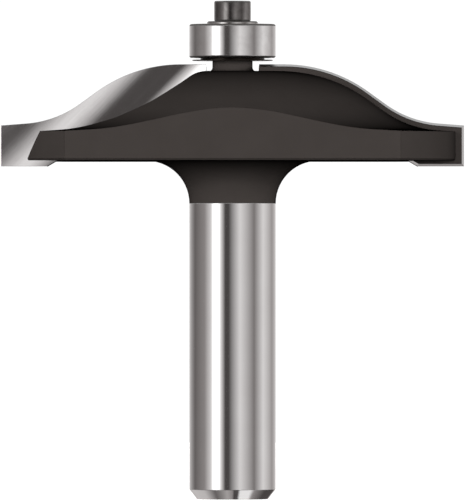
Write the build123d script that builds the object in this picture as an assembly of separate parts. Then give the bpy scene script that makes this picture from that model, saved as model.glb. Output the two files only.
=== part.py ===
"""Two-flute raised-panel router bit with a guide bearing on top.

Millimetres, +Z up. The origin is the centre of the flat shank end, and the tool axis is Z.
The two wings lie along X: the left wing (-X) shows its rake face towards -Y, and the right
wing is the left one turned by half a turn about Z. The bit cuts counter-clockwise seen from +Z.
"""

from build123d import *
from math import atan2, cos, radians, sin, tan
import os

os.makedirs("parts", exist_ok=True)

# Shank and neck
SHANK_DIAMETER = 12.7
SHANK_LENGTH = 43.4
SHANK_END_CHAMFER_LENGTH = 1.4
SHANK_END_CHAMFER_DEPTH = 1.1
NECK_RADIUS = 6.25

# Head: the tips stand proud of the body all round, which limits the chip
HEAD_DIAMETER = 68.0
CUTTING_HEIGHT = 15.0
TIP_BELOW_BODY = 0.8
BODY_BELOW_TIP = 1.05
CHIP_LIMIT = 1.1
FRONT_FLAT_DISTANCE = 22.0
LOWER_EDGE_CHAMFER = 0.25

# Ogee moulding outline, from the flat crown round the axis out to the lip at the rim
CROWN_FLAT_RADIUS = 7.6
CROWN_ARC_RADIUS = 21.0
SLOPE_ANGLE = 36.0
SLOPE_LENGTH = 3.1
COVE_ARC_RADIUS = 15.2
LIP_ANGLE = 4.4

# Carbide tips and the steel ribs that back them
TIP_THICKNESS = 2.0
TIP_INNER_RADIUS = 3.9
TIP_FOOT_INNER_RADIUS = 27.2
TIP_INNER_HEIGHT = 1.55
TIP_RELIEF = 0.4
RIB_THICKNESS = 2.0

# Chip gullets in front of the tips
GULLET_WIDTH = 17.15
GULLET_BELOW_TIP = 0.3
GULLET_FLOOR_WIDTH = 13.0
GULLET_FLOOR_SLOPE = 10.5
GULLET_CROSS_TILT = 5.0
GULLET_WALL_LEAN = 44.5
GULLET_FLOOR_FILLET = 2.5
GULLET_END_STRAIGHT = 6.9
GULLET_END_ANGLE = 24.6
GULLET_END_FILLET = 8.0

# Pilot, its shoulder and the tapped hole
SHOULDER_DIAMETER = 5.9
SHOULDER_ABOVE_TIP = 0.5
SHOULDER_FILLET = 0.6
JOURNAL_DIAMETER = 4.75
JOURNAL_SHORT_OF_BEARING = 0.25
JOURNAL_CHAMFER = 0.15
THREAD_DIAMETER = 3.0
HOLE_BEYOND_SCREW = 0.7
DRILL_POINT_ANGLE = 118.0

# Guide bearing, 3/16 x 1/2 x 0.196 inch with 3/32 inch balls
BEARING_BORE = 4.762
BEARING_WIDTH = 4.978
BEARING_CORNER = 0.35
BALL_DIAMETER = 2.381
BALL_COUNT = 7
BALL_PLAY = 0.012
GROOVE_CONFORMITY = 0.52
LAND_FROM_PITCH = 0.385
CAGE_SHEET = 0.2
CAGE_INNER_RADIUS = 3.78
CAGE_OUTER_RADIUS = 4.95
POCKET_PLAY = 0.035
RIVET_DIAMETER = 0.4
RIVET_HEAD_DIAMETER = 0.68
RIVET_HEAD_HEIGHT = 0.12

# Bearing shields and the snap rings that hold them
SHIELD_SHEET = 0.2
SHIELD_SEAT_DEPTH = 0.62
SHIELD_DISH = 0.1
SHIELD_INNER_GAP = 0.11
SHIELD_SEAT_RADIUS = 5.72
SNAP_WIRE = 0.3
SNAP_GROOVE_DEPTH = 0.14
SNAP_PLAY = 0.02
SNAP_WIDTH = 0.42
SNAP_OPENING = 38.0

# Washers and screw
DUST_SHIELD_DIAMETER = 11.8
DUST_SHIELD_BOSS_DIAMETER = 9.4
DUST_SHIELD_THICKNESS = 0.42
DUST_SHIELD_FLANGE = 0.15
DUST_SHIELD_BORE = 4.8
CLAMP_WASHER_DIAMETER = 7.5
CLAMP_WASHER_THICKNESS = 0.4
CLAMP_WASHER_CHAMFER = 0.2
CLAMP_WASHER_BORE = 3.2
SCREW_LENGTH = 10.0
SCREW_HEAD_DIAMETER = 5.4
SCREW_HEAD_HEIGHT = 3.0
SCREW_HEAD_ROUND = 0.25
SCREW_POINT_CHAMFER = 0.4
SOCKET_WIDTH = 2.5
SOCKET_DEPTH = 1.5

# Levels along the axis
BODY_BOTTOM = SHANK_LENGTH + NECK_RADIUS
TIP_BOTTOM = BODY_BOTTOM - TIP_BELOW_BODY
TIP_TOP = TIP_BOTTOM + CUTTING_HEIGHT
BODY_TOP = TIP_TOP - BODY_BELOW_TIP
SHOULDER_TOP = TIP_TOP + SHOULDER_ABOVE_TIP
BEARING_BOTTOM = SHOULDER_TOP + DUST_SHIELD_THICKNESS
BEARING_MIDDLE = BEARING_BOTTOM + BEARING_WIDTH / 2
BEARING_TOP = BEARING_BOTTOM + BEARING_WIDTH
JOURNAL_TOP = BEARING_TOP - JOURNAL_SHORT_OF_BEARING
WASHER_TOP = BEARING_TOP + CLAMP_WASHER_THICKNESS
SCREW_POINT = WASHER_TOP - SCREW_LENGTH
SCREW_TOP = WASHER_TOP + SCREW_HEAD_HEIGHT

# Radii that follow
SHANK_RADIUS = SHANK_DIAMETER / 2
HEAD_RADIUS = HEAD_DIAMETER / 2
BODY_RADIUS = HEAD_RADIUS - CHIP_LIMIT
BEARING_RADIUS = SHANK_RADIUS
BALL_RADIUS = BALL_DIAMETER / 2
PITCH_RADIUS = (BEARING_BORE / 2 + BEARING_RADIUS) / 2
GROOVE_RADIUS = BALL_DIAMETER * GROOVE_CONFORMITY
INNER_LAND = PITCH_RADIUS - BALL_DIAMETER * LAND_FROM_PITCH
OUTER_LAND = PITCH_RADIUS + BALL_DIAMETER * LAND_FROM_PITCH
POCKET_RADIUS = BALL_RADIUS + POCKET_PLAY
HALF_WIDTH = BEARING_WIDTH / 2
SHIELD_SEAT = HALF_WIDTH - SHIELD_SEAT_DEPTH
TIP_FOOT_RISE = CUTTING_HEIGHT - TIP_INNER_HEIGHT
TIP_UNDERSIDE = atan2(TIP_FOOT_RISE, TIP_FOOT_INNER_RADIUS - TIP_INNER_RADIUS)
FAR = 2 * HEAD_RADIUS


def polygon(points):
    """Closed face through the given points, in the sketch plane."""
    return make_face(Polyline(*points, close=True))


def nearest(face, point):
    """Corner of a flat face nearest to the given point."""
    return face.vertices().sort_by_distance(Vertex(*point))[0]


def turned(face):
    """Solid of revolution about Z from a face drawn with radius across and height up."""
    return revolve(Plane.XZ * face, Axis.Z)


def half_turn(shape):
    """The same shape on the other wing."""
    return Rot(0, 0, 180) * shape


def ogee_line(rim_radius, inner_radius, inset=0.0, drop=0.0):
    """Moulding outline from the rim in to the crown, moved in by inset and down by drop."""
    slope = radians(SLOPE_ANGLE)
    lip = radians(LIP_ANGLE)
    along = Vector(cos(slope), -sin(slope))
    outward = Vector(sin(slope), cos(slope))
    top = TIP_TOP - inset - drop
    crown_arc = CROWN_ARC_RADIUS - inset
    cove_arc = COVE_ARC_RADIUS + inset
    crown_start = Vector(CROWN_FLAT_RADIUS, top)
    crown_centre = crown_start - Vector(0, crown_arc)
    slope_top = crown_centre + outward * crown_arc
    slope_foot = slope_top + along * SLOPE_LENGTH
    cove_centre = slope_foot + outward * cove_arc
    cove_end = cove_centre - Vector(sin(lip), cos(lip)) * cove_arc
    rim = Vector(rim_radius, cove_end.Y - (rim_radius - cove_end.X) * tan(lip))
    cove_middle = cove_centre - Vector(sin((slope + lip) / 2), cos((slope + lip) / 2)) * cove_arc
    crown_middle = crown_centre + Vector(sin(slope / 2), cos(slope / 2)) * crown_arc
    return rim, [
        Line(rim, cove_end),
        ThreePointArc(cove_end, cove_middle, slope_foot),
        Line(slope_foot, slope_top),
        ThreePointArc(slope_top, crown_middle, crown_start),
        Line(crown_start, (inner_radius, top)),
    ]


def tip_outline(inset):
    """Outline of a carbide tip on the right of the axis; its rib has the same one, inset."""
    rim_radius = HEAD_RADIUS - inset
    rim, ogee = ogee_line(rim_radius, TIP_INNER_RADIUS, inset)
    bottom = TIP_BOTTOM + inset
    foot_inner = TIP_FOOT_INNER_RADIUS + inset * tan(TIP_UNDERSIDE / 2)
    inner_bottom = bottom + (foot_inner - TIP_INNER_RADIUS) * tan(TIP_UNDERSIDE)
    inner_top = TIP_TOP - inset
    border = Polyline(
        (TIP_INNER_RADIUS, inner_top),
        (TIP_INNER_RADIUS, inner_bottom),
        (foot_inner, bottom),
        (rim_radius, bottom),
        rim,
    )
    return make_face(ogee + border.edges())


def wing_section(outline, distance):
    """Outline of the left wing, stood upright at the given distance behind its rake face."""
    return Pos(0, distance, 0) * (Rot(0, 0, 180) * (Plane.XZ * outline))


def carbide_tip():
    """Left tip: full outline at the rake face, ground back to the rib's outline behind."""
    front = wing_section(tip_outline(0.0), 0.0)
    back = wing_section(tip_outline(TIP_RELIEF), TIP_THICKNESS)
    return loft([front, back], ruled=True)


def backing_rib():
    """Steel rib behind the left tip, proud of the body all round."""
    face = wing_section(tip_outline(TIP_RELIEF), 0.0)
    return extrude(face, TIP_THICKNESS + RIB_THICKNESS, dir=(0, 1, 0))


def gullet():
    """Chip pocket before the left tip: floor rising inwards, leaning front wall, angled end wall."""
    floor_rise = GULLET_FLOOR_WIDTH * tan(radians(GULLET_CROSS_TILT))
    wall_shift = FAR * tan(radians(GULLET_WALL_LEAN))
    floor_corner = (GULLET_FLOOR_WIDTH, floor_rise)
    wall_top = (GULLET_FLOOR_WIDTH + wall_shift, floor_rise + FAR)
    section = polygon([(0, 0), floor_corner, wall_top, (0, floor_rise + FAR)])
    section = fillet(nearest(section, floor_corner), GULLET_FLOOR_FILLET)
    slope = radians(GULLET_FLOOR_SLOPE)
    inwards = Vector(cos(slope), 0, sin(slope))
    start = Vector(-TIP_FOOT_INNER_RADIUS, 0, TIP_BOTTOM - GULLET_BELOW_TIP)
    frame = Plane(origin=start - inwards * FAR / 2, x_dir=(0, -1, 0), z_dir=-inwards)
    trough = extrude(frame * section, 2 * FAR, dir=inwards)
    end_run = GULLET_WIDTH - GULLET_END_STRAIGHT
    end_corner = (-TIP_INNER_RADIUS - end_run * tan(radians(GULLET_END_ANGLE)), -GULLET_WIDTH)
    plan = polygon(
        [
            (-TIP_INNER_RADIUS, 0),
            (-TIP_INNER_RADIUS, -GULLET_END_STRAIGHT),
            end_corner,
            (-2 * FAR, -GULLET_WIDTH),
            (-2 * FAR, 0),
        ]
    )
    plan = fillet(nearest(plan, end_corner), GULLET_END_FILLET)
    return trough & extrude(plan, 2 * FAR)


def body_blank():
    """Turned blank: shank, neck, domed head, pilot shoulder and journal."""
    foot = SHANK_RADIUS - SHANK_END_CHAMFER_DEPTH
    shoulder = SHOULDER_DIAMETER / 2
    journal = JOURNAL_DIAMETER / 2
    rim, ogee = ogee_line(BODY_RADIUS, shoulder + SHOULDER_FILLET, drop=BODY_BELOW_TIP)
    lower = Polyline((0, 0), (foot, 0), (SHANK_RADIUS, SHANK_END_CHAMFER_LENGTH), (SHANK_RADIUS, SHANK_LENGTH))
    neck_end = (SHANK_RADIUS + NECK_RADIUS, BODY_BOTTOM)
    neck = RadiusArc((SHANK_RADIUS, SHANK_LENGTH), neck_end, NECK_RADIUS)
    underside = Polyline(
        neck_end,
        (BODY_RADIUS - LOWER_EDGE_CHAMFER, BODY_BOTTOM),
        (BODY_RADIUS, BODY_BOTTOM + LOWER_EDGE_CHAMFER),
        rim,
    )
    fillet_start = (shoulder + SHOULDER_FILLET, BODY_TOP)
    fillet_end = (shoulder, BODY_TOP + SHOULDER_FILLET)
    root = RadiusArc(fillet_start, fillet_end, SHOULDER_FILLET)
    pilot = Polyline(
        fillet_end,
        (shoulder, SHOULDER_TOP),
        (journal, SHOULDER_TOP),
        (journal, JOURNAL_TOP - JOURNAL_CHAMFER),
        (journal - JOURNAL_CHAMFER, JOURNAL_TOP),
        (0, JOURNAL_TOP),
        (0, 0),
    )
    pieces = lower.edges() + [neck] + underside.edges() + ogee + [root] + pilot.edges()
    return turned(make_face(pieces))


def tapped_hole():
    """Hole for the cap screw, down through the pilot, with a drill point."""
    radius = THREAD_DIAMETER / 2
    bottom = SCREW_POINT - HOLE_BEYOND_SCREW
    point = radius / tan(radians(DRILL_POINT_ANGLE / 2))
    outline = [(0, bottom - point), (radius, bottom), (radius, FAR * 2), (0, FAR * 2)]
    return turned(polygon(outline))


def flats():
    """Slab that the head is milled to, front and rear, with the lower edges broken."""
    foot = FRONT_FLAT_DISTANCE - LOWER_EDGE_CHAMFER
    edge = BODY_BOTTOM + LOWER_EDGE_CHAMFER
    corners = [(foot, 0), (foot, BODY_BOTTOM), (FRONT_FLAT_DISTANCE, edge), (FRONT_FLAT_DISTANCE, FAR * 2)]
    mirrored = [(-across, up) for across, up in reversed(corners)]
    return extrude(Plane.YZ * polygon(corners + mirrored), FAR, both=True)


def cutter_body():
    """One-piece steel body with front and rear flats, gullets, ribs and tip seats."""
    body = body_blank() & flats()
    for place in (Rot(0, 0, 0), Rot(0, 0, 180)):
        body = body + place * backing_rib()
        body = body - place * gullet()
        body = body - place * carbide_tip()
    return body - tapped_hole()


def groove(side):
    """Ball groove to take out of a ring; side is -1 for the inner ring and +1 for the outer."""
    bottom = PITCH_RADIUS + side * (BALL_RADIUS + BALL_PLAY)
    centre = bottom - side * GROOVE_RADIUS
    return turned(Pos(centre, 0) * Circle(GROOVE_RADIUS))


def inner_ring():
    """Bearing inner ring, clamped on the pilot."""
    bore = BEARING_BORE / 2
    blank = Pos(bore, 0) * Rectangle(INNER_LAND - bore, BEARING_WIDTH, align=(Align.MIN, Align.CENTER))
    return turned(fillet(blank.vertices(), BEARING_CORNER / 2)) - groove(-1)


def outer_ring():
    """Bearing outer ring, with a seat and a snap groove for the shield on each side."""
    width = BEARING_RADIUS - OUTER_LAND
    blank = Pos(OUTER_LAND, 0) * Rectangle(width, BEARING_WIDTH, align=(Align.MIN, Align.CENTER))
    outside = blank.vertices().sort_by(Axis.X)[-2:]
    ring = turned(fillet(outside, BEARING_CORNER)) - groove(1)
    seat = Cylinder(SHIELD_SEAT_RADIUS, SHIELD_SEAT_DEPTH, align=(Align.CENTER, Align.CENTER, Align.MIN))
    snap = Cylinder(
        SHIELD_SEAT_RADIUS + SNAP_GROOVE_DEPTH,
        SNAP_WIRE + SNAP_PLAY,
        align=(Align.CENTER, Align.CENTER, Align.MIN),
    )
    for turn in (Rot(0, 0, 0), Rot(180, 0, 0)):
        ring = ring - turn * Pos(0, 0, SHIELD_SEAT) * seat
        ring = ring - turn * Pos(0, 0, SHIELD_SEAT + SHIELD_SHEET) * snap
    return ring


def bearing_shield():
    """Upper shield: a thin dished ring that closes the bearing without touching its inner ring."""
    inner = INNER_LAND + SHIELD_INNER_GAP
    outer = SHIELD_SEAT_RADIUS - SNAP_PLAY
    width = outer - inner
    dish_start = inner + 0.42 * width
    dish_end = inner + 0.52 * width
    low = SHIELD_SEAT - SHIELD_DISH
    return turned(
        polygon(
            [
                (inner, low),
                (dish_start, low),
                (dish_end, SHIELD_SEAT),
                (outer, SHIELD_SEAT),
                (outer, SHIELD_SEAT + SHIELD_SHEET),
                (dish_end, SHIELD_SEAT + SHIELD_SHEET),
                (dish_start, low + SHIELD_SHEET),
                (inner, low + SHIELD_SHEET),
            ]
        )
    )


def snap_ring():
    """Upper snap ring: a split ring sprung into the outer ring's groove over the shield."""
    outer = SHIELD_SEAT_RADIUS + SNAP_GROOVE_DEPTH - SNAP_PLAY
    section = Rectangle(SNAP_WIDTH, SNAP_WIRE, align=(Align.MAX, Align.MIN))
    height = SHIELD_SEAT + SHIELD_SHEET
    ring = revolve(Plane.XZ * (Pos(outer, height) * section), Axis.Z, 360 - SNAP_OPENING)
    return ring


def ball_places():
    """Places of the balls on the pitch circle, as angles in degrees."""
    return [360 * number / BALL_COUNT for number in range(BALL_COUNT)]


def cage_half():
    """Upper half of the ribbon cage: flat links between round pockets, holed for the rivets."""
    tall = POCKET_RADIUS + CAGE_SHEET
    up = (Align.CENTER, Align.CENTER, Align.MIN)
    band = Cylinder(CAGE_OUTER_RADIUS, 2 * tall, align=up) - Cylinder(CAGE_INNER_RADIUS, 2 * tall, align=up)
    sheet = Cylinder(CAGE_OUTER_RADIUS, CAGE_SHEET, align=up)
    holes = []
    for angle in ball_places():
        pocket_place = Rot(0, 0, angle) * Pos(PITCH_RADIUS, 0, 0)
        sheet = sheet + pocket_place * Sphere(tall)
        holes.append(pocket_place * Sphere(POCKET_RADIUS))
        rivet_place = Rot(0, 0, angle + 180 / BALL_COUNT) * Pos(PITCH_RADIUS, 0, 0)
        holes.append(rivet_place * Cylinder(RIVET_DIAMETER / 2, 2))
    return (sheet & band) - holes


def cage_rivets():
    """Rivets through both cage halves, midway between the balls."""
    shank = Cylinder(RIVET_DIAMETER / 2, 2 * CAGE_SHEET)
    head = Cylinder(RIVET_HEAD_DIAMETER / 2, RIVET_HEAD_HEIGHT)
    head_height = CAGE_SHEET + RIVET_HEAD_HEIGHT / 2
    rivet = shank + Pos(0, 0, head_height) * head + Pos(0, 0, -head_height) * head
    places = [Rot(0, 0, angle + 180 / BALL_COUNT) * Pos(PITCH_RADIUS, 0, 0) for angle in ball_places()]
    return Compound([place * rivet for place in places])


def dust_shield():
    """Washer under the bearing: a boss clamped against the inner ring, and a thin flange round it."""
    boss = DUST_SHIELD_BOSS_DIAMETER / 2
    edge = DUST_SHIELD_DIAMETER / 2
    bore = DUST_SHIELD_BORE / 2
    flange_top = SHOULDER_TOP + DUST_SHIELD_FLANGE
    return turned(
        polygon(
            [
                (bore, SHOULDER_TOP),
                (edge, SHOULDER_TOP),
                (edge, flange_top),
                (boss, flange_top),
                (boss, BEARING_BOTTOM),
                (bore, BEARING_BOTTOM),
            ]
        )
    )


def clamp_washer():
    """Bright washer that presses the inner ring down, chamfered on top."""
    outer = CLAMP_WASHER_DIAMETER / 2
    bore = CLAMP_WASHER_BORE / 2
    return turned(
        polygon(
            [
                (bore, BEARING_TOP),
                (outer, BEARING_TOP),
                (outer, WASHER_TOP - CLAMP_WASHER_CHAMFER),
                (outer - CLAMP_WASHER_CHAMFER, WASHER_TOP),
                (bore, WASHER_TOP),
            ]
        )
    )


def cap_screw():
    """Socket head cap screw: round-edged head, hexagon socket and a shank in the tapped hole."""
    head_radius = SCREW_HEAD_DIAMETER / 2
    shank_radius = THREAD_DIAMETER / 2
    up = (Align.CENTER, Align.CENTER, Align.MIN)
    head = Cylinder(head_radius, SCREW_HEAD_HEIGHT, align=up)
    head = fillet(head.edges().filter_by(GeomType.CIRCLE), SCREW_HEAD_ROUND)
    shank = Cylinder(shank_radius, SCREW_LENGTH, align=(Align.CENTER, Align.CENTER, Align.MAX))
    shank = chamfer(shank.edges().group_by(Axis.Z)[0], SCREW_POINT_CHAMFER)
    socket = RegularPolygon(SOCKET_WIDTH / 2, 6, major_radius=False)
    socket_floor = SCREW_HEAD_HEIGHT - SOCKET_DEPTH
    hexagon = extrude(Pos(0, 0, socket_floor) * socket, SCREW_HEAD_HEIGHT)
    cone_height = SOCKET_WIDTH / 2 / tan(radians(DRILL_POINT_ANGLE / 2))
    drill = Pos(0, 0, socket_floor - cone_height / 2) * Cone(0, SOCKET_WIDTH / 2, cone_height)
    return Pos(0, 0, WASHER_TOP) * (head + shank - hexagon - drill)


in_bearing = Pos(0, 0, BEARING_MIDDLE)
turned_over = in_bearing * Rot(180, 0, 0)
tip = carbide_tip()
cage = cage_half()

nodes = {
    "cutter_body": cutter_body(),
    "carbide_tip_left": tip,
    "carbide_tip_right": half_turn(tip),
    "dust_shield": dust_shield(),
    "bearing_inner_ring": in_bearing * inner_ring(),
    "bearing_outer_ring": in_bearing * outer_ring(),
    "bearing_shield_upper": in_bearing * bearing_shield(),
    "bearing_shield_lower": turned_over * bearing_shield(),
    "snap_ring_upper": in_bearing * snap_ring(),
    "snap_ring_lower": turned_over * snap_ring(),
    "cage_upper": in_bearing * cage,
    "cage_lower": turned_over * cage,
    "cage_rivets": in_bearing * cage_rivets(),
    "clamp_washer": clamp_washer(),
    "cap_screw": cap_screw(),
}

for number, angle in enumerate(ball_places(), start=1):
    ball = Rot(0, 0, angle) * Pos(PITCH_RADIUS, 0, 0) * Sphere(BALL_RADIUS)
    nodes[f"bearing_ball_{number}"] = in_bearing * ball

for name, shape in nodes.items():
    export_step(shape, f"parts/{name}.step")
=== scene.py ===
"""Finishes the router bit: a coated body, ground steel, lapped carbide and a pale studio."""

from math import cos, pi, radians, sin, sqrt, tan

import bpy
from bpy.props import FloatProperty, FloatVectorProperty, PointerProperty
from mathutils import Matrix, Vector


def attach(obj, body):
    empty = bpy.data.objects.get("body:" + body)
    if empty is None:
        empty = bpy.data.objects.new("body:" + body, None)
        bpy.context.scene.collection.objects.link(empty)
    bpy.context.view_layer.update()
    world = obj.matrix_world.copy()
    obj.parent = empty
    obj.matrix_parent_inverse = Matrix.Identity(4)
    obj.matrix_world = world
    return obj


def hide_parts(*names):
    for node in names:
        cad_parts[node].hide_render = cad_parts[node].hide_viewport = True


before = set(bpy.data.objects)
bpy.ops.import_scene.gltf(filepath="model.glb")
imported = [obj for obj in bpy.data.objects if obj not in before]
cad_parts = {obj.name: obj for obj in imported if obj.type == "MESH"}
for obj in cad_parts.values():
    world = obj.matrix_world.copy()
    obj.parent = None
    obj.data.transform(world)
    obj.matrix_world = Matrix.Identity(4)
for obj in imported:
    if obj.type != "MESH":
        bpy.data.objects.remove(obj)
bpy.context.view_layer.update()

bl_info = {
    "name": "Router Bit",
    "version": (1, 0, 0),
    "blender": (4, 5, 0),
    "location": "3D View > Sidebar > Router Bit",
    "description": "Finishes a raised-panel router bit and sets it in a pale studio",
    "category": "Object",
}

MM = 0.001

# The photograph's frame: its size in pixels, its scale and where the shank's foot and axis lie in it
PHOTO_WIDTH = 465
PHOTO_HEIGHT = 500
PHOTO_MM_PER_PX = 68.0 / 463.0
PHOTO_FOOT_ROW = 499.0
PHOTO_AXIS_COLUMN = 232.5

# Sockets of the Mix node: its factor, its two colours and the colour that comes out
MIX_FACTOR = 0
MIX_FIRST = 6
MIX_SECOND = 7
MIXED = 2

# Nearly all values of the Noise node lie between these
NOISE_LOW = 0.3
NOISE_HIGH = 0.7
BEVEL_SAMPLES = 4


def linear(hex_code):
    """Scene-linear RGB of an sRGB colour written as #RRGGBB."""
    channels = [int(hex_code[i:i + 2], 16) / 255 for i in (1, 3, 5)]
    return tuple(c / 12.92 if c <= 0.04045 else ((c + 0.055) / 1.055) ** 2.4 for c in channels)


def swatch(name, description, hex_code):
    """A colour in the sidebar, its default given as sRGB hex."""
    return FloatVectorProperty(
        name=name, description=description, subtype="COLOR", size=3, min=0, max=1,
        default=linear(hex_code),
    )


def length(name, description, millimetres):
    """A length in the sidebar, its default given in millimetres."""
    return FloatProperty(
        name=name, description=description, subtype="DISTANCE", unit="LENGTH",
        default=millimetres * MM, min=0, precision=5,
    )


class BodyFinish(bpy.types.PropertyGroup):
    """Finish of the one-piece steel body."""

    coat: swatch("Coat", "Baked coat under its smoky top layer", "#363230")
    coat_thick: swatch("Coat, thicker", "Baked coat where it ran thicker", "#312D2B")
    # Painted shade: the top layer's tint darkens the coat where it is seen slantwise, as on the dome's
    # top
    slant_shade: swatch("Top layer", "What the smoky top layer lets through, seen square on", "#EFEFEF")
    shank: swatch("Shank", "Centreless-ground shank steel", "#CECECE")
    shank_worn: swatch("Shank, duller", "Shank steel where handling has dulled it", "#C6C5C5")
    # Painted shade: a thin dark line along every sharp edge of the body, on coat and shank alike, in
    # place of the shade on its edges
    edges: swatch("Edges", "Sharp edges, where coat has run thick or dirt has settled", "#171412")
    coat_edge: length("Coat edge", "Height above the shank end where the coat starts", 43.4)
    peel: length("Orange peel", "Size of the coat's fine ripples", 0.5)
    grinding: length("Grinding lines", "Spacing of the grinding lines round the shank", 0.12)


class TipFinish(bpy.types.PropertyGroup):
    """Finish of the carbide tips and the braze round them."""

    carbide: swatch("Carbide", "Ground and lapped carbide", "#CECECE")
    carbide_dark: swatch("Carbide, binder-rich", "Carbide where there is more binder", "#C8C7C7")
    streak: length("Lapping streaks", "Width of the streaks that lapping leaves", 0.15)
    # Partly painted shade: the braze's near-black also stands in for the shade along the joint
    braze: swatch("Braze", "Silver braze, stained by the coat", "#1B1816")
    bead: length("Bead radius", "Radius of the bead of braze along a joint", 0.06)


class BearingFinish(bpy.types.PropertyGroup):
    """Finish of the guide bearing and its washers."""

    ring: swatch("Rings", "Superfinished bearing steel", "#D0D0D0")
    ring_worn: swatch("Rings, duller", "Bearing steel where it has been handled", "#C8C7C7")
    shield: swatch("Shields", "Bright rolled sheet", "#C9C9C8")
    dust_shield: swatch("Dust shield", "Blackened spring steel", "#2A2623")
    # Partly painted light: the faces are lighter so that the ring's lower corner reflects a lighter face
    dust_shield_rubbed_and_lit: swatch("Dust shield, rubbed", "Its faces, rubbed bright by the ring", "#9A9693")
    washer: swatch("Clamp washer", "Turned steel", "#A9A6A4")
    # Painted shade: this darker colour lines the rounded corners of the rings and washer, in place of
    # the shade along their edges
    corner: swatch("Corners", "Tumbled corners of rings and washers", "#6E6B69")


class CapScrew(bpy.types.PropertyGroup):
    """Sizes and finish of the socket head cap screw."""

    oxide: swatch("Oxide", "Black oxide where it lies thick", "#26221F")
    oxide_worn: swatch("Worn oxide", "Black oxide where it has worn thin", "#C8C5C4")
    thread: length("Thread", "Outside diameter of the thread", 3.0)
    pitch: length("Pitch", "Distance from one turn of the thread to the next", 0.5)
    thread_depth: length("Thread depth", "Depth of the thread, measured along the radius", 0.3)
    point: length("Point", "Size of the chamfer at the screw's point", 0.4)
    edge: length("Head edges", "Radius of the head's rounded edges", 0.25)
    socket: length("Socket", "Width across the flats of the hexagon socket", 2.5)
    socket_depth: length("Socket depth", "Depth of the hexagon socket", 1.5)
    mouth: length("Socket mouth", "Size of the chamfer at the mouth of the socket", 0.08)


class Studio(bpy.types.PropertyGroup):
    """Camera, floor and light."""

    lens: FloatProperty(
        name="Lens", description="Camera lens, long enough for the photograph's flat view",
        default=1000.0, subtype="DISTANCE_CAMERA",
    )
    floor: swatch("Floor", "Plain pale floor", "#F4F3F2")
    floor_radius: length("Floor radius", "Radius of the round floor", 600.0)
    floor_glow: FloatProperty(
        name="Floor glow", description="Light that the translucent floor gives by itself", default=0.8
    )
    box_distance: length("Soft box distance", "From the bit to each soft box", 1200.0)
    box_width: length("Soft box width", "Width of each soft box", 2400.0)
    box_height: length("Soft box height", "Height of each soft box", 300.0)
    box_rise: FloatProperty(
        name="Soft box rise", description="Angle by which the soft boxes stand above the bit",
        default=radians(6.5), subtype="ANGLE",
    )
    front_power: FloatProperty(
        name="Front soft box", description="Power of the soft box by the viewer",
        default=28.0, unit="POWER",
    )
    side_power: FloatProperty(
        name="Side soft boxes", description="Power of the soft boxes at the sides",
        default=23.0, unit="POWER",
    )
    back_power: FloatProperty(
        name="Back soft box", description="Power of the soft box behind the bit",
        default=24.0, unit="POWER",
    )
    fill: FloatProperty(name="Fill", description="Dim light from all round", default=0.1)


def add(tree, kind, inputs=(), out=0, **settings):
    """Adds a node with its settings and links, and gives back one of its outputs.
    Inputs are a list in the order of the sockets, or a dictionary by name or number."""
    node = tree.nodes.new(kind)
    for name, value in settings.items():
        setattr(node, name, value)
    for place, value in inputs.items() if isinstance(inputs, dict) else enumerate(inputs):
        if isinstance(value, bpy.types.NodeSocket):
            tree.links.new(value, node.inputs[place])
        else:
            node.inputs[place].default_value = value
    return node.outputs[out] if node.outputs else None


def rgba(colour):
    """Colour with full alpha, as a colour socket takes it."""
    return (*colour, 1.0)


def new_material(name):
    """Empty material: gives back it, its tree, its shader's inputs and the object coordinates."""
    material = bpy.data.materials.new(name)
    material.use_nodes = True
    tree = material.node_tree
    tree.nodes.clear()
    surface = add(tree, "ShaderNodeBsdfPrincipled")
    add(tree, "ShaderNodeOutputMaterial", {"Surface": surface})
    return material, tree, surface.node.inputs, add(tree, "ShaderNodeTexCoord", out="Object")


def link(tree, inputs, **sources):
    """Links sources to a shader's inputs; an underscore in a name stands for a space."""
    for name, source in sources.items():
        tree.links.new(source, inputs[name.replace("_", " ")])


def fill_ramp(ramp, stops):
    """Gives a colour ramp its stops, each a position and a colour."""
    elements = ramp.node.color_ramp.elements
    for index, (position, colour) in enumerate(stops):
        stop = elements[index] if index < 2 else elements.new(position)
        stop.position = position
        stop.color = rgba(colour)


def share_of_turn(degrees):
    """Place on a ramp that runs once round, from -180 to 180 degrees."""
    return (degrees + 180) / 360


def turn_from_viewer(tree, direction):
    """How far round the Z axis a direction lies from the viewer, as a place on such a ramp."""
    axes = add(tree, "ShaderNodeSeparateXYZ", [direction]).node.outputs
    toward = add(tree, "ShaderNodeMath", [axes["Y"], -1.0], operation="MULTIPLY")
    angle = add(tree, "ShaderNodeMath", [axes["X"], toward], operation="ARCTAN2")
    return add(tree, "ShaderNodeMapRange", [angle, -pi, pi])


def squareness(tree, place, axis):
    """How squarely a surface faces along an axis of its object, either way: 0 to 1."""
    along = add(tree, "ShaderNodeSeparateXYZ", [place.node.outputs["Normal"]], out=axis)
    return add(tree, "ShaderNodeMath", [along], operation="ABSOLUTE")


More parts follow.
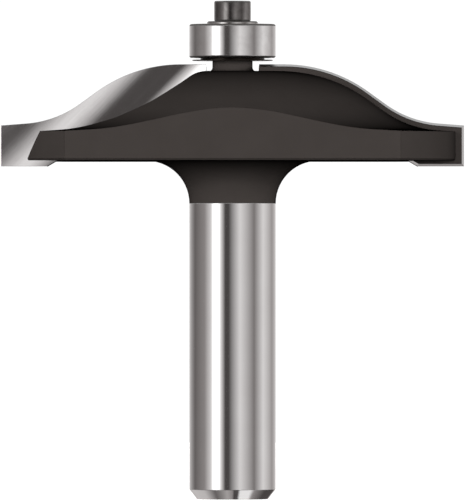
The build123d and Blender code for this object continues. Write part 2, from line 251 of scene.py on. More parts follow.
def baked_coat_and_ground_steel(finish):
    """Fluoropolymer coat, sprayed and baked on tool steel: matt charcoal with faint orange peel under
    a smoky top layer, a painted shade that darkens it where it is seen slantwise. Below the coat the
    bar is centreless-ground: bright, with hair-fine lines round it."""
    coat_blur = 0.04 * MM
    film_patch, handled_patch = 4 * MM, 5 * MM
    edge_width = 0.12 * MM
    on_flat, on_edge = 0.99, 0.9
    steel_roughness, coat_roughness = 0.09, 0.5
    line_stretch = 0.02
    relief_strength, relief_depth = 0.06, 0.03 * MM
    material, tree, shader, place = new_material("baked_fluoropolymer_and_ground_steel")
    height = add(tree, "ShaderNodeSeparateXYZ", [place], out="Z")
    coated = add(
        tree, "ShaderNodeMapRange", [height, finish.coat_edge - coat_blur, finish.coat_edge + coat_blur],
        interpolation_type="SMOOTHSTEP",
    )
    film = add(tree, "ShaderNodeTexNoise", {"Vector": place, "Scale": 1 / film_patch, "Detail": 5.0})
    coat = add(
        tree, "ShaderNodeMix",
        {MIX_FACTOR: film, MIX_FIRST: rgba(finish.coat), MIX_SECOND: rgba(finish.coat_thick)},
        out=MIXED, data_type="RGBA",
    )
    handled = add(
        tree, "ShaderNodeTexNoise", {"Vector": place, "Scale": 1 / handled_patch, "Detail": 4.0}
    )
    steel = add(
        tree, "ShaderNodeMix",
        {MIX_FACTOR: handled, MIX_FIRST: rgba(finish.shank), MIX_SECOND: rgba(finish.shank_worn)},
        out=MIXED, data_type="RGBA",
    )
    colour = add(
        tree, "ShaderNodeMix", {MIX_FACTOR: coated, MIX_FIRST: steel, MIX_SECOND: coat},
        out=MIXED, data_type="RGBA",
    )
    rounded = add(tree, "ShaderNodeBevel", {"Radius": edge_width}, samples=BEVEL_SAMPLES)
    plain = add(tree, "ShaderNodeNewGeometry", out="Normal")
    # Painted shade: near every sharp edge the colour turns to the dark edge colour, a thin dark line
    # standing in for the shade along the edges
    on_face = add(tree, "ShaderNodeVectorMath", [rounded, plain], out="Value", operation="DOT_PRODUCT")
    edge = add(tree, "ShaderNodeMapRange", [on_face, on_flat, on_edge])
    colour = add(
        tree, "ShaderNodeMix", {MIX_FACTOR: edge, MIX_FIRST: colour, MIX_SECOND: rgba(finish.edges)},
        out=MIXED, data_type="RGBA",
    )
    bare = add(tree, "ShaderNodeMath", [1.0, coated], operation="SUBTRACT")
    roughness = add(tree, "ShaderNodeMapRange", [coated, 0.0, 1.0, steel_roughness, coat_roughness])
    peel = add(tree, "ShaderNodeTexNoise", {"Vector": place, "Scale": 1 / finish.peel, "Detail": 2.0})
    squeezed = add(
        tree, "ShaderNodeMapping", {"Vector": place, "Scale": (line_stretch, line_stretch, 1.0)}
    )
    # A grinding wheel's own lines are about 0.02 mm apart, too fine to show, so they are drawn coarser
    lines = add(
        tree, "ShaderNodeTexNoise", {"Vector": squeezed, "Scale": 1 / finish.grinding, "Detail": 3.0}
    )
    relief = add(tree, "ShaderNodeMix", {"Factor": coated, "A": lines, "B": peel}, data_type="FLOAT")
    normal = add(
        tree, "ShaderNodeBump",
        {"Strength": relief_strength, "Distance": relief_depth, "Height": relief, "Normal": rounded},
    )
    # The coat has no gloss of its own, and its top layer only takes light away: painted shade where the
    # coat is seen slantwise
    shader["Specular IOR Level"].default_value = 0.0
    shader["Coat IOR"].default_value = 1.0
    shader["Coat Roughness"].default_value = coat_roughness
    shader["Coat Tint"].default_value = rgba(finish.slant_shade)
    link(
        tree, shader, Base_Color=colour, Metallic=bare, Roughness=roughness, Normal=normal,
        Coat_Weight=coated,
    )
    return material


# How far the shading of the flat rake face leans outwards: millimetres across its bands, from the
# inner top corner out, and degrees. Chosen for the look of the bands, in coarse steps
FACE_LEAN = [(-2, 21), (0, 19), (3, 7), (4, 7), (8, 15), (12, 10), (15, 10)]
STEEPEST_LEAN = 30.0


def lapped_carbide(finish, side):
    """Cemented tungsten carbide, diamond ground: the rake face is lapped nearly to a mirror. It is
    flat, but its shading leans by FACE_LEAN, far more than lapping leaves, which draws what it
    reflects into slanting bands. The lands are ground and duller. Side is +1 for the left tip and -1
    for the right one."""
    off_rake, on_rake = 0.9, 0.97
    streak_stretch = 0.03
    streak_lean = 0.004
    edge_width = 0.1 * MM
    ground_roughness, lapped_roughness = 0.38, 0.1
    grain_patch = 1.5 * MM
    node = "carbide_tip_left" if side > 0 else "carbide_tip_right"
    material, tree, shader, place = new_material(f"lapped_tungsten_carbide_{node.split('_')[-1]}")
    rake = add(tree, "ShaderNodeMapRange", [squareness(tree, place, "Y"), off_rake, on_rake])
    diagonal = 1 / sqrt(2)
    across = add(
        tree, "ShaderNodeVectorMath", [place, (side * diagonal, 0.0, -diagonal)], out="Value",
        operation="DOT_PRODUCT",
    )
    along = add(
        tree, "ShaderNodeVectorMath", [place, (side * diagonal, 0.0, diagonal)], out="Value",
        operation="DOT_PRODUCT",
    )
    low, high = node_box(node)
    inner_corner = ((high.x if side > 0 else -low.x) - high.z) * diagonal
    first, last = FACE_LEAN[0][0], FACE_LEAN[-1][0]
    outwards = add(
        tree, "ShaderNodeMapRange", [across, inner_corner - first * MM, inner_corner - last * MM]
    )
    ramp = add(tree, "ShaderNodeValToRGB", [outwards])
    ramp.node.color_ramp.interpolation = "CARDINAL"
    fill_ramp(ramp, [
        ((distance - first) / (last - first), [degrees / STEEPEST_LEAN] * 3)
        for distance, degrees in FACE_LEAN
    ])
    squeezed = add(tree, "ShaderNodeMath", [along, streak_stretch], operation="MULTIPLY")
    # Lapping streaks are about 0.01 mm wide, too fine to show, so they are drawn coarser
    streak_place = add(tree, "ShaderNodeCombineXYZ", [across, squeezed])
    streaks = add(
        tree, "ShaderNodeTexNoise", {"Vector": streak_place, "Scale": 1 / finish.streak, "Detail": 2.0}
    )
    ripple = add(tree, "ShaderNodeMapRange", [streaks, NOISE_LOW, NOISE_HIGH, -streak_lean, streak_lean])
    lean = add(tree, "ShaderNodeMath", [ramp, radians(STEEPEST_LEAN), ripple], operation="MULTIPLY_ADD")
    slope = add(tree, "ShaderNodeMath", [lean], operation="TANGENT")
    slope = add(tree, "ShaderNodeMath", [slope, rake], operation="MULTIPLY")
    lean = add(
        tree, "ShaderNodeVectorMath", {0: (-side, 0.0, 0.0), "Scale": slope}, operation="SCALE"
    )
    lean = add(
        tree, "ShaderNodeVectorTransform", [lean], vector_type="VECTOR",
        convert_from="OBJECT", convert_to="WORLD",
    )
    rounded = add(tree, "ShaderNodeBevel", {"Radius": edge_width}, samples=BEVEL_SAMPLES)
    leaning = add(tree, "ShaderNodeVectorMath", [rounded, lean], operation="ADD")
    normal = add(tree, "ShaderNodeVectorMath", [leaning], operation="NORMALIZE")
    roughness = add(tree, "ShaderNodeMapRange", [rake, 0.0, 1.0, ground_roughness, lapped_roughness])
    grains = add(tree, "ShaderNodeTexNoise", {"Vector": place, "Scale": 1 / grain_patch, "Detail": 4.0})
    colour = add(
        tree, "ShaderNodeMix",
        {MIX_FACTOR: grains, MIX_FIRST: rgba(finish.carbide), MIX_SECOND: rgba(finish.carbide_dark)},
        out=MIXED, data_type="RGBA",
    )
    shader["Metallic"].default_value = 1.0
    link(tree, shader, Base_Color=colour, Roughness=roughness, Normal=normal)
    return material


def blackened_spring_steel(finish):
    """Spring steel, blackened in an oil bath: satin black on its edge, with the faces a patchy grey,
    partly rubbed by the ring that runs over them and partly painted light, made lighter so that the
    ring's lower corner reflects a lighter face."""
    on_side, on_face = 0.5, 0.9
    rubbed_patch = 1.0 * MM
    least_rubbed = 0.7
    material, tree, shader, place = new_material("blackened_spring_steel")
    face = add(tree, "ShaderNodeMapRange", [squareness(tree, place, "Z"), on_side, on_face])
    rubbed = add(tree, "ShaderNodeTexNoise", {"Vector": place, "Scale": 1 / rubbed_patch, "Detail": 4.0})
    rubbed = add(tree, "ShaderNodeMapRange", [rubbed, NOISE_LOW, NOISE_HIGH, least_rubbed, 1.0])
    rubbed = add(tree, "ShaderNodeMath", [rubbed, face], operation="MULTIPLY")
    # Partly painted light: the faces take a lighter grey, which the ring's lower corner reflects
    colour = add(
        tree, "ShaderNodeMix",
        {
            MIX_FACTOR: rubbed,
            MIX_FIRST: rgba(finish.dust_shield),
            MIX_SECOND: rgba(finish.dust_shield_rubbed_and_lit),
        },
        out=MIXED, data_type="RGBA",
    )
    shader["Metallic"].default_value = 1.0
    shader["Roughness"].default_value = 0.35
    link(tree, shader, Base_Color=colour)
    return material


def turned_metal(name, bright, dull, corner, patch, roughness, spacing, strength):
    """Metal with fine rings round the axis, as turning, grinding or blanking leaves them, duller
    patches where it has been handled, and corners left satin by tumbling and given the darker
    corner colour as painted shade along the edges."""
    least_handled, most_handled = 0.35, 0.65
    roughness_spread = 0.15
    corner_roughness = 0.5
    wall_end, corner_start, corner_end, face_start = 0.1, 0.35, 0.94, 0.99
    edge_width = 0.05 * MM
    ring_depth = 0.02 * MM
    material, tree, shader, place = new_material(name)
    handled = add(tree, "ShaderNodeTexNoise", {"Vector": place, "Scale": 1 / patch, "Detail": 3.0})
    handled = add(tree, "ShaderNodeMapRange", [handled, least_handled, most_handled])
    smoothest, roughest = roughness * (1 - roughness_spread), roughness * (1 + roughness_spread)
    dulled = add(tree, "ShaderNodeMapRange", [handled, 0.0, 1.0, smoothest, roughest])
    lie = squareness(tree, place, "Z")
    off_wall = add(tree, "ShaderNodeMapRange", [lie, wall_end, corner_start])
    off_face = add(tree, "ShaderNodeMapRange", [lie, corner_end, face_start, 1.0, 0.0])
    satin = add(tree, "ShaderNodeMath", [off_wall, off_face], operation="MULTIPLY")
    dulled = add(tree, "ShaderNodeMath", [satin, corner_roughness, dulled], operation="MULTIPLY_ADD")
    colour = add(
        tree, "ShaderNodeMix", {MIX_FACTOR: handled, MIX_FIRST: rgba(bright), MIX_SECOND: rgba(dull)},
        out=MIXED, data_type="RGBA",
    )
    # Painted shade: the rounded corners take the darker corner colour
    colour = add(
        tree, "ShaderNodeMix", {MIX_FACTOR: satin, MIX_FIRST: colour, MIX_SECOND: rgba(corner)},
        out=MIXED, data_type="RGBA",
    )
    flat = add(tree, "ShaderNodeVectorMath", [place, (1.0, 1.0, 0.0)], operation="MULTIPLY")
    radius = add(tree, "ShaderNodeVectorMath", [flat], out="Value", operation="LENGTH")
    height = add(tree, "ShaderNodeSeparateXYZ", [place], out="Z")
    # The rings that a tool leaves are 0.01 to 0.05 mm apart, too fine to show, so they are drawn coarser
    ring_place = add(tree, "ShaderNodeCombineXYZ", [radius, height])
    rings = add(tree, "ShaderNodeTexNoise", {"Vector": ring_place, "Scale": 1 / spacing, "Detail": 3.0})
    rounded = add(tree, "ShaderNodeBevel", {"Radius": edge_width}, samples=BEVEL_SAMPLES)
    normal = add(
        tree, "ShaderNodeBump",
        {"Strength": strength, "Distance": ring_depth, "Height": rings, "Normal": rounded},
    )
    shader["Metallic"].default_value = 1.0
    link(tree, shader, Base_Color=colour, Roughness=dulled, Normal=normal)
    return material


def black_oxide(sizes):
    """Black oxide on a turned and heat-treated screw: a hard, glossy, nearly black film, even but for
    faint patches where it has worn thin."""
    patch = 1.2 * MM
    patch_share = 0.08
    film_share = 0.75
    worn_roughness, oxide_roughness = 0.12, 0.2
    edge_width = 0.05 * MM
    relief_strength, relief_depth = 0.05, 0.02 * MM
    material, tree, shader, place = new_material("black_oxide_alloy_steel")
    patches = add(tree, "ShaderNodeTexNoise", {"Vector": place, "Scale": 1 / patch, "Detail": 4.0})
    patches = add(
        tree, "ShaderNodeMapRange", [patches, NOISE_LOW, NOISE_HIGH, -patch_share, patch_share]
    )
    film = add(tree, "ShaderNodeMath", [patches, film_share], operation="ADD", use_clamp=True)
    colour = add(
        tree, "ShaderNodeMix",
        {MIX_FACTOR: film, MIX_FIRST: rgba(sizes.oxide_worn), MIX_SECOND: rgba(sizes.oxide)},
        out=MIXED, data_type="RGBA",
    )
    roughness = add(tree, "ShaderNodeMapRange", [film, 0.0, 1.0, worn_roughness, oxide_roughness])
    rounded = add(tree, "ShaderNodeBevel", {"Radius": edge_width}, samples=BEVEL_SAMPLES)
    normal = add(
        tree, "ShaderNodeBump",
        {"Strength": relief_strength, "Distance": relief_depth, "Height": patches, "Normal": rounded},
    )
    shader["Metallic"].default_value = 1.0
    link(tree, shader, Base_Color=colour, Roughness=roughness, Normal=normal)
    return material


def stained_and_shaded_braze(finish):
    """Silver braze, run into the joint and stained dark when the coat was baked: a thin satin line whose
    near-black is partly that stain and partly painted shade along the joint.
    """
    flow_size = 0.4 * MM
    smoothest, roughest = 0.35, 0.6
    relief_strength, relief_depth = 0.3, 0.02 * MM
    material, tree, shader, place = new_material("stained_and_shaded_silver_braze")
    flow = add(tree, "ShaderNodeTexNoise", {"Vector": place, "Scale": 1 / flow_size, "Detail": 3.0})
    roughness = add(tree, "ShaderNodeMapRange", [flow, NOISE_LOW, NOISE_HIGH, smoothest, roughest])
    normal = add(
        tree, "ShaderNodeBump",
        {"Strength": relief_strength, "Distance": relief_depth, "Height": flow},
    )
    # Partly painted shade: this near-black also stands in for the shade along the joint
    shader["Base Color"].default_value = rgba(finish.braze)
    shader["Metallic"].default_value = 1.0
    link(tree, shader, Roughness=roughness, Normal=normal)
    return material


def node_box(name):
    """Lowest and highest corner of a CAD node, in metres."""
    corners = [Vector(corner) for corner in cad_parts[name].bound_box]
    return corners[0], corners[6]


def dress(material, *names):
    """Gives CAD nodes their finish."""
    for name in names:
        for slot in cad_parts[name].material_slots:
            slot.material = material


def new_tree(name, sizes):
    """Geometry tree with named inputs: gives back it and the sockets that bring them in."""
    tree = bpy.data.node_groups.new(name, "GeometryNodeTree")
    tree.interface.new_socket("Geometry", in_out="OUTPUT", socket_type="NodeSocketGeometry")
    tree.interface.new_socket("Geometry", in_out="INPUT", socket_type="NodeSocketGeometry")
    for size, kind in sizes.items():
        tree.interface.new_socket(size, in_out="INPUT", socket_type=kind)
    return tree, add(tree, "NodeGroupInput").node.outputs


def end_tree(tree, geometry, finish):
    """Makes a tree's geometry real and gives it its finish."""
    real = add(tree, "GeometryNodeRealizeInstances", [geometry])
    finished = add(tree, "GeometryNodeSetMaterial", {"Geometry": real, "Material": finish})
    add(tree, "NodeGroupOutput", [finished])


def grown(name, mesh, tree, values):
    """Object at the origin whose mesh is what a tree makes of the given mesh and values."""
    piece = bpy.data.objects.new(name, mesh)
    bpy.context.scene.collection.objects.link(piece)
    modifier = piece.modifiers.new(name, "NODES")
    modifier.node_group = tree
    for socket in tree.interface.items_tree:
        if socket.name in values:
            modifier[socket.identifier] = values[socket.name]
    graph = bpy.context.evaluated_depsgraph_get()
    plain = bpy.data.meshes.new_from_object(piece.evaluated_get(graph), depsgraph=graph)
    piece.modifiers.remove(modifier)
    piece.data = plain
    return piece


TOUCHING = 0.02 * MM
MERGED = 0.001 * MM
JOINT_ANGLE = radians(30)
BEAD_SIDES = 8


def braze_tree():
    """Beads of braze along every sharp edge of a tip that touches the body."""
    tree, given = new_tree("braze_beads", {
        "Left tip": "NodeSocketObject",
        "Right tip": "NodeSocketObject",
        "Body": "NodeSocketObject",
        "Bead radius": "NodeSocketFloat",
        "Finish": "NodeSocketMaterial",
    })
    body = add(tree, "GeometryNodeObjectInfo", {"Object": given["Body"]}, out="Geometry")
    to_body = add(tree, "GeometryNodeProximity", [body], out="Distance", target_element="FACES")
    touching = add(tree, "FunctionNodeCompare", [to_body, TOUCHING], operation="LESS_THAN")
    turn = add(tree, "GeometryNodeInputMeshEdgeAngle", out="Unsigned Angle")
    sharp = add(tree, "FunctionNodeCompare", [turn, JOINT_ANGLE], operation="GREATER_THAN")
    joint = add(tree, "FunctionNodeBooleanMath", [touching, sharp], operation="AND")
    section = add(
        tree, "GeometryNodeCurvePrimitiveCircle",
        {"Resolution": BEAD_SIDES, "Radius": given["Bead radius"]},
    )
    both = add(tree, "GeometryNodeJoinGeometry")
    for tip in ("Left tip", "Right tip"):
        facets = add(tree, "GeometryNodeObjectInfo", {"Object": given[tip]}, out="Geometry")
        whole = add(tree, "GeometryNodeMergeByDistance", {"Geometry": facets, "Distance": MERGED})
        path = add(tree, "GeometryNodeMeshToCurve", [whole, joint])
        bead = add(
            tree, "GeometryNodeCurveToMesh", {"Curve": path, "Profile Curve": section, "Fill Caps": True}
        )
        tree.links.new(bead, both.node.inputs["Geometry"])
    smooth = add(tree, "GeometryNodeSetShadeSmooth", [both])
    end_tree(tree, smooth, given["Finish"])
    return tree


SCREW_SIDES = 72
RINGS_PER_PITCH = 10
ROUNDING_STEPS = 6
DRILL_POINT = radians(118)
SHARP_ANGLE = radians(35)

# In pitches: the flats at the thread's root and crest, and how far below the seat it is full
ROOT_FLAT = 1 / 4
CREST_FLAT = 1 / 8
RUN_OUT = 1.5


def hexagon_radius(angle, width):
    """Radius at an angle of a hexagon that has a corner on the X axis."""
    sixth = pi / 3
    return width / 2 / cos(angle % sixth - sixth / 2)


def screw_blank(sizes):
    """Closed mesh of the screw before its thread is cut, as rings from its point up over the head
    and down into the socket."""
    low, top = node_box("cap_screw")
    seat = node_box("clamp_washer")[1].z
    shank = sizes.thread / 2
    socket_floor = top.z - sizes.socket_depth
    corner = hexagon_radius(0, sizes.socket)
    rings = [(shank - sizes.point, low.z, False)]
    step = sizes.pitch / RINGS_PER_PITCH
    count = int((seat - low.z - sizes.point) / step)
    rings += [(shank, low.z + sizes.point + step * number, False) for number in range(count)]
    rings.append((shank, seat, False))
    turns = [pi / 2 * number / ROUNDING_STEPS for number in range(ROUNDING_STEPS + 1)]
    inner = top.x - sizes.edge
    rings += [(inner + sizes.edge * sin(t), seat + sizes.edge * (1 - cos(t)), False) for t in turns]
    rings += [(inner + sizes.edge * cos(t), top.z - sizes.edge * (1 - sin(t)), False) for t in turns]
    rings.append((corner + sizes.mouth, top.z, False))
    rings.append((sizes.socket, top.z - sizes.mouth, True))
    rings.append((sizes.socket, socket_floor, True))
    rings.append((sizes.socket / 2, socket_floor, False))
    angles = [2 * pi * number / SCREW_SIDES for number in range(SCREW_SIDES)]
    points = []
    for size, height, six_sided in rings:
        for angle in angles:
            radius = hexagon_radius(angle, size) if six_sided else size
            points.append((radius * cos(angle), radius * sin(angle), height))
    faces = []
    for ring in range(len(rings) - 1):
        for side in range(SCREW_SIDES):
            start, end = ring * SCREW_SIDES, (ring + 1) * SCREW_SIDES
            following = (side + 1) % SCREW_SIDES
            faces.append((start + side, start + following, end + following, end + side))
    point_centre = len(points)
    drill_tip = point_centre + 1
    points += [(0, 0, low.z), (0, 0, socket_floor - sizes.socket / 2 / tan(DRILL_POINT / 2))]
    last = (len(rings) - 1) * SCREW_SIDES
    for side in range(SCREW_SIDES):
        following = (side + 1) % SCREW_SIDES
        faces.append((point_centre, following, side))
        faces.append((last + side, last + following, drill_tip))
    mesh = bpy.data.meshes.new("screw_blank")
    mesh.from_pydata(points, [], faces)
    mesh.shade_smooth()
    mesh.set_sharp_from_angle(angle=SHARP_ANGLE)
    return mesh


def thread_tree():
    """Cuts a right-hand thread into a blank that stands on the Z axis."""
    tree, given = new_tree("right_hand_thread", {
        "Diameter": "NodeSocketFloat",
        "Pitch": "NodeSocketFloat",
        "Depth": "NodeSocketFloat",
        "Head seat": "NodeSocketFloat",
        "Finish": "NodeSocketMaterial",
    })
    place = add(tree, "GeometryNodeInputPosition")
    axes = add(tree, "ShaderNodeSeparateXYZ", [place]).node.outputs
    angle = add(tree, "ShaderNodeMath", [axes["Y"], axes["X"]], operation="ARCTAN2")
    turned = add(tree, "ShaderNodeMath", [angle, 2 * pi], operation="DIVIDE")
    pitches = add(tree, "ShaderNodeMath", [axes["Z"], given["Pitch"]], operation="DIVIDE")
    phase = add(tree, "ShaderNodeMath", [pitches, turned], operation="SUBTRACT")
    phase = add(tree, "ShaderNodeMath", [phase], operation="FRACT")
    from_root = add(tree, "ShaderNodeMath", [phase, 0.5], operation="SUBTRACT")
    from_root = add(tree, "ShaderNodeMath", [from_root], operation="ABSOLUTE")
    cut = add(
        tree, "ShaderNodeMapRange", [from_root, ROOT_FLAT / 2, (1 - CREST_FLAT) / 2, 1.0, 0.0]
    )
    below_seat = add(tree, "ShaderNodeMath", [given["Head seat"], axes["Z"]], operation="SUBTRACT")
    full = add(tree, "ShaderNodeMath", [given["Pitch"], RUN_OUT], operation="MULTIPLY")
    run_out = add(tree, "ShaderNodeMapRange", [below_seat, given["Pitch"], full])
    cut = add(tree, "ShaderNodeMath", [cut, run_out], operation="MULTIPLY")
    cut = add(tree, "ShaderNodeMath", [cut, given["Depth"]], operation="MULTIPLY")
    outside = add(tree, "ShaderNodeMath", [given["Diameter"], 2.0], operation="DIVIDE")
    thread = add(tree, "ShaderNodeMath", [outside, cut], operation="SUBTRACT")
    flat = add(tree, "ShaderNodeCombineXYZ", [axes["X"], axes["Y"]])
    radius = add(tree, "ShaderNodeVectorMath", [flat], out="Value", operation="LENGTH")
    excess = add(tree, "ShaderNodeMath", [thread, radius], operation="SUBTRACT")
    excess = add(tree, "ShaderNodeMath", [excess, 0.0], operation="MINIMUM")
    outwards = add(tree, "ShaderNodeVectorMath", [flat], operation="NORMALIZE")
    inwards = add(tree, "ShaderNodeVectorMath", {0: outwards, "Scale": excess}, operation="SCALE")
    on_shank = add(tree, "FunctionNodeCompare", [below_seat, 0.0], operation="GREATER_THAN")
    cut_mesh = add(
        tree, "GeometryNodeSetPosition",
        {"Geometry": given["Geometry"], "Selection": on_shank, "Offset": inwards},
    )
    end_tree(tree, cut_mesh, given["Finish"])
    return tree


class ROUTERBIT_OT_body(bpy.types.Operator):
    """Coat the head and neck and grind the shank"""

    bl_idname = "routerbit.body"
    bl_label = "Cutter body"

    def execute(self, context):
        dress(baked_coat_and_ground_steel(context.scene.bit_body), "cutter_body")
        return {"FINISHED"}


class ROUTERBIT_OT_tips(bpy.types.Operator):
    """Grind and lap the two carbide tips"""

    bl_idname = "routerbit.tips"
    bl_label = "Carbide tips"

    def execute(self, context):
        finish = context.scene.bit_tips
        dress(lapped_carbide(finish, 1), "carbide_tip_left")
        dress(lapped_carbide(finish, -1), "carbide_tip_right")
        return {"FINISHED"}


class ROUTERBIT_OT_braze(bpy.types.Operator):
    """Run beads of braze along the joints of the tips"""

    bl_idname = "routerbit.braze"
    bl_label = "Braze"

    def execute(self, context):
        finish = context.scene.bit_tips
        beads = grown("braze_beads", bpy.data.meshes.new("braze_beads"), braze_tree(), {
            "Left tip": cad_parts["carbide_tip_left"],
            "Right tip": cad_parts["carbide_tip_right"],
            "Body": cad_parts["cutter_body"],
            "Bead radius": finish.bead,
            "Finish": stained_and_shaded_braze(finish),
        })
        if not beads.data.polygons:
            raise RuntimeError("no joint was found between the tips and the body")
        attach(beads, "cutter")
        return {"FINISHED"}


class ROUTERBIT_OT_bearing(bpy.types.Operator):
    """Finish the guide bearing"""

    bl_idname = "routerbit.bearing"
    bl_label = "Guide bearing"

    def execute(self, context):
        finish = context.scene.bit_bearing
        balls = [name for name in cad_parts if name.startswith("bearing_ball")]
        rings = turned_metal(
            "superfinished_chrome_steel", finish.ring, finish.ring_worn, finish.corner,
            patch=1.5 * MM, roughness=0.1, spacing=0.1 * MM, strength=0.05,
        )
        sheet = turned_metal(
            "bright_rolled_steel_sheet", finish.shield, finish.ring_worn, finish.shield,
            patch=1.0 * MM, roughness=0.22, spacing=0.2 * MM, strength=0.1,
        )
        dress(rings, "bearing_inner_ring", "bearing_outer_ring", *balls)
        dress(sheet, "bearing_shield_upper", "bearing_shield_lower")
        dress(sheet, "snap_ring_upper", "snap_ring_lower")
        dress(sheet, "cage_upper", "cage_lower", "cage_rivets")
        return {"FINISHED"}


class ROUTERBIT_OT_washers(bpy.types.Operator):
    """Finish the dust shield and the clamp washer"""

    bl_idname = "routerbit.washers"
    bl_label = "Washers"

    def execute(self, context):
        finish = context.scene.bit_bearing
        turned = turned_metal(
            "turned_mild_steel", finish.washer, finish.shield, finish.corner,
            patch=1.0 * MM, roughness=0.12, spacing=0.15 * MM, strength=0.1,
        )
        dress(blackened_spring_steel(finish), "dust_shield")
        dress(turned, "clamp_washer")
        return {"FINISHED"}


class ROUTERBIT_OT_screw(bpy.types.Operator):
    """Turn the cap screw and cut its thread"""

    bl_idname = "routerbit.screw"
    bl_label = "Cap screw"

    def execute(self, context):
        sizes = context.scene.bit_screw
        screw = grown("threaded_cap_screw", screw_blank(sizes), thread_tree(), {
            "Diameter": sizes.thread,
            "Pitch": sizes.pitch,
            "Depth": sizes.thread_depth,
            "Head seat": node_box("clamp_washer")[1].z,
            "Finish": black_oxide(sizes),
        })
        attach(screw, "cutter")
        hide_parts("cap_screw")
        return {"FINISHED"}


# What polished steel sees round the horizon: angle from the viewer, right positive, and brightness.
# White soft boxes stand at -45, 20 and 90 degrees, with dark flags between them. The levels are few
# and round.
HORIZON = [
    (-180, 1.0), (-120, 0.2), (-80, 0.4), (-60, 1.0), (-50, 2.5), (-40, 2.5), (-30, 1.0), (-20, 0.1),
    (-10, 0.1), (20, 1.1), (60, 0.3), (90, 1.1), (130, 0.5), (180, 1.0),
]
# What it sees on the table below, laid out in the same way
TABLE = [
    (-180, 0.4), (-150, 0.8), (-120, 0.8), (-90, 0.2), (-40, 0.6), (0, 0.4), (10, 0.1), (40, 0.1),
    (50, 1.3), (90, 1.3), (100, 0.4), (130, 0.1), (160, 0.1), (180, 0.4),
]
# The darker it is, the warmer: how much green and blue the darkest flag lacks, and the level from
# which on it is white
GREEN_LACK = 0.1
BLUE_LACK = 0.12
WHITE_LEVEL = 1.5


def reflected(tree, turn, levels):
    """Light that steel sees round a circle, from a table of angles and levels."""
    ring = add(tree, "ShaderNodeValToRGB", [turn])
    brightest = max(level for _, level in levels)
    stops = []
    for degrees, level in levels:
        dark = max(0, 1 - level / WHITE_LEVEL)
        warm = (1, 1 - GREEN_LACK * dark, 1 - BLUE_LACK * dark)
        stops.append((share_of_turn(degrees), [level / brightest * channel for channel in warm]))
    fill_ramp(ring, stops)
    return add(tree, "ShaderNodeBackground", [ring, brightest])


def studio_light(world, studio):
    """Pale round the camera. Steel sees the soft boxes and flags round the horizon under a bright
    ceiling; everything gets a dim fill."""
    white = rgba((1, 1, 1))
    paper_level = 1.05
    # Each rise is the Z of a direction, from -1 straight down to 1 straight up
    table_start, table_full = -0.15, -0.3
    ceiling_start, ceiling_full = 0.08, 0.2
    dim_until, bright_from = 0.36, 0.54
    dim_level, bright_level = 0.35, 0.9
    zenith_start, zenith_share = 0.75, 0.35
    world.use_nodes = True
    tree = world.node_tree
    tree.nodes.clear()
    direction = add(tree, "ShaderNodeTexCoord", out="Generated")
    rise = add(tree, "ShaderNodeSeparateXYZ", [direction], out="Z")
    turn = turn_from_viewer(tree, direction)
    below = add(
        tree, "ShaderNodeMapRange", [rise, table_start, table_full], interpolation_type="SMOOTHSTEP"
    )
    horizon, table = reflected(tree, turn, HORIZON), reflected(tree, turn, TABLE)
    round_about = add(tree, "ShaderNodeMixShader", [below, horizon, table])
    ceiling_level = add(
        tree, "ShaderNodeMapRange", [rise, dim_until, bright_from, dim_level, bright_level],
        interpolation_type="SMOOTHSTEP",
    )
    overhead = add(tree, "ShaderNodeMapRange", [rise, zenith_start, 1.0, 1.0, zenith_share])
    ceiling_level = add(tree, "ShaderNodeMath", [ceiling_level, overhead], operation="MULTIPLY")
    ceiling = add(tree, "ShaderNodeBackground", [white, ceiling_level])
    above = add(
        tree, "ShaderNodeMapRange", [rise, ceiling_start, ceiling_full], interpolation_type="SMOOTHSTEP"
    )
    seen_by_steel = add(tree, "ShaderNodeMixShader", [above, round_about, ceiling])
    fill = add(tree, "ShaderNodeBackground", [white, studio.fill])
    paper = add(tree, "ShaderNodeBackground", [white, paper_level])
    path = add(tree, "ShaderNodeLightPath").node.outputs
    not_steel = add(tree, "ShaderNodeMixShader", [path["Is Camera Ray"], fill, paper])
    sky = add(tree, "ShaderNodeMixShader", [path["Is Glossy Ray"], not_steel, seen_by_steel])
    add(tree, "ShaderNodeOutputWorld", [sky])


def soft_box(studio, middle, degrees, power):
    """Soft box that only lights matt surfaces, at an angle from the viewer round the bit."""
    light = bpy.data.lights.new("soft_box", "AREA")
    light.shape = "RECTANGLE"
    light.size = studio.box_width
    light.size_y = studio.box_height
    light.energy = power
    box = bpy.data.objects.new("soft_box", light)
    turn = radians(degrees)
    outwards = Vector((sin(turn), -cos(turn), tan(studio.box_rise))).normalized()
    box.location = middle + outwards * studio.box_distance
    box.rotation_euler = (-outwards).to_track_quat("-Z", "Y").to_euler()
    box.visible_camera = False
    box.visible_glossy = False
    bpy.context.scene.collection.objects.link(box)


FLOOR_SIDES = 96
FLOOR_ROUGHNESS = 0.9
SIDE_BOX_ANGLE = 80
NEAREST_SEEN = 0.1
FARTHEST_SEEN = 10.0


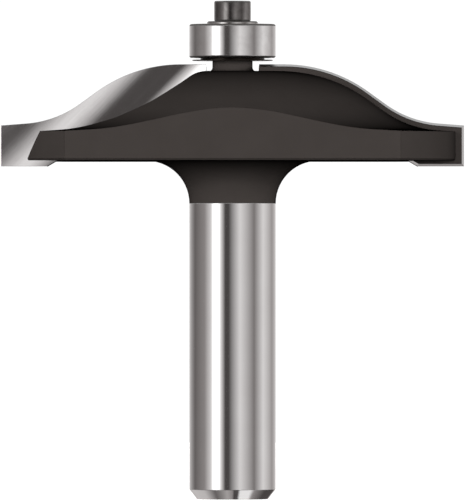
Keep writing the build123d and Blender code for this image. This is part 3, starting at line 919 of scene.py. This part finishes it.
class ROUTERBIT_OT_studio(bpy.types.Operator):
    """Set the pale floor, the light and the camera"""

    bl_idname = "routerbit.studio"
    bl_label = "Studio"

    def execute(self, context):
        studio = context.scene.bit_studio
        scene = context.scene
        scene.view_settings.view_transform = "Standard"
        scene.world = bpy.data.worlds.new("studio_light")
        studio_light(scene.world, studio)
        scene.world.cycles.sampling_method = "NONE"
        bpy.ops.mesh.primitive_circle_add(
            vertices=FLOOR_SIDES, radius=studio.floor_radius, fill_type="NGON"
        )
        floor = context.object
        floor.name = "pale_floor"
        material, _, shader, _ = new_material("translucent_white_acrylic")
        shader["Base Color"].default_value = rgba(studio.floor)
        shader["Roughness"].default_value = FLOOR_ROUGHNESS
        shader["Specular IOR Level"].default_value = 0.0
        shader["Emission Color"].default_value = rgba(studio.floor)
        shader["Emission Strength"].default_value = studio.floor_glow
        floor.data.materials.append(material)
        floor.visible_glossy = False
        floor.visible_diffuse = False
        centre_up = (PHOTO_FOOT_ROW - PHOTO_HEIGHT / 2) * PHOTO_MM_PER_PX * MM
        centre_across = (PHOTO_WIDTH / 2 - PHOTO_AXIS_COLUMN) * PHOTO_MM_PER_PX * MM
        middle = Vector((0, 0, centre_up))
        soft_box(studio, middle, 0, studio.front_power)
        soft_box(studio, middle, SIDE_BOX_ANGLE, studio.side_power)
        soft_box(studio, middle, -SIDE_BOX_ANGLE, studio.side_power)
        soft_box(studio, middle, 180, studio.back_power)
        camera_data = bpy.data.cameras.new("photo_camera")
        camera_data.lens = studio.lens
        tall = PHOTO_HEIGHT * PHOTO_MM_PER_PX * MM
        distance = tall / (camera_data.sensor_width * MM) * studio.lens * MM
        camera_data.clip_start = NEAREST_SEEN
        camera_data.clip_end = FARTHEST_SEEN
        camera = bpy.data.objects.new("photo_camera", camera_data)
        camera.location = (centre_across, -distance, centre_up)
        camera.rotation_euler = (pi / 2, 0, 0)
        scene.collection.objects.link(camera)
        scene.camera = camera
        return {"FINISHED"}


GROUPS = {
    "bit_body": BodyFinish,
    "bit_tips": TipFinish,
    "bit_bearing": BearingFinish,
    "bit_screw": CapScrew,
    "bit_studio": Studio,
}
OPERATORS = (
    ROUTERBIT_OT_body,
    ROUTERBIT_OT_tips,
    ROUTERBIT_OT_braze,
    ROUTERBIT_OT_bearing,
    ROUTERBIT_OT_washers,
    ROUTERBIT_OT_screw,
    ROUTERBIT_OT_studio,
)


class ROUTERBIT_PT_sidebar(bpy.types.Panel):
    """Lists the pieces and their finishes"""

    bl_label = "Router Bit"
    bl_idname = "ROUTERBIT_PT_sidebar"
    bl_space_type = "VIEW_3D"
    bl_region_type = "UI"
    bl_category = "Router Bit"

    def draw(self, context):
        for operator in OPERATORS:
            self.layout.operator(operator.bl_idname)
        for name, group in GROUPS.items():
            for setting in group.__annotations__:
                self.layout.prop(getattr(context.scene, name), setting)


def register():
    for group in (*GROUPS.values(), *OPERATORS, ROUTERBIT_PT_sidebar):
        bpy.utils.register_class(group)
    for name, group in GROUPS.items():
        setattr(bpy.types.Scene, name, PointerProperty(type=group))


def unregister():
    for name in GROUPS:
        delattr(bpy.types.Scene, name)
    for group in (ROUTERBIT_PT_sidebar, *OPERATORS, *GROUPS.values()):
        bpy.utils.unregister_class(group)


def main():
    register()
    bpy.ops.routerbit.body()
    bpy.ops.routerbit.tips()
    bpy.ops.routerbit.braze()
    bpy.ops.routerbit.bearing()
    bpy.ops.routerbit.washers()
    bpy.ops.routerbit.screw()
    bpy.ops.routerbit.studio()


if __name__ == "__main__":
    main()
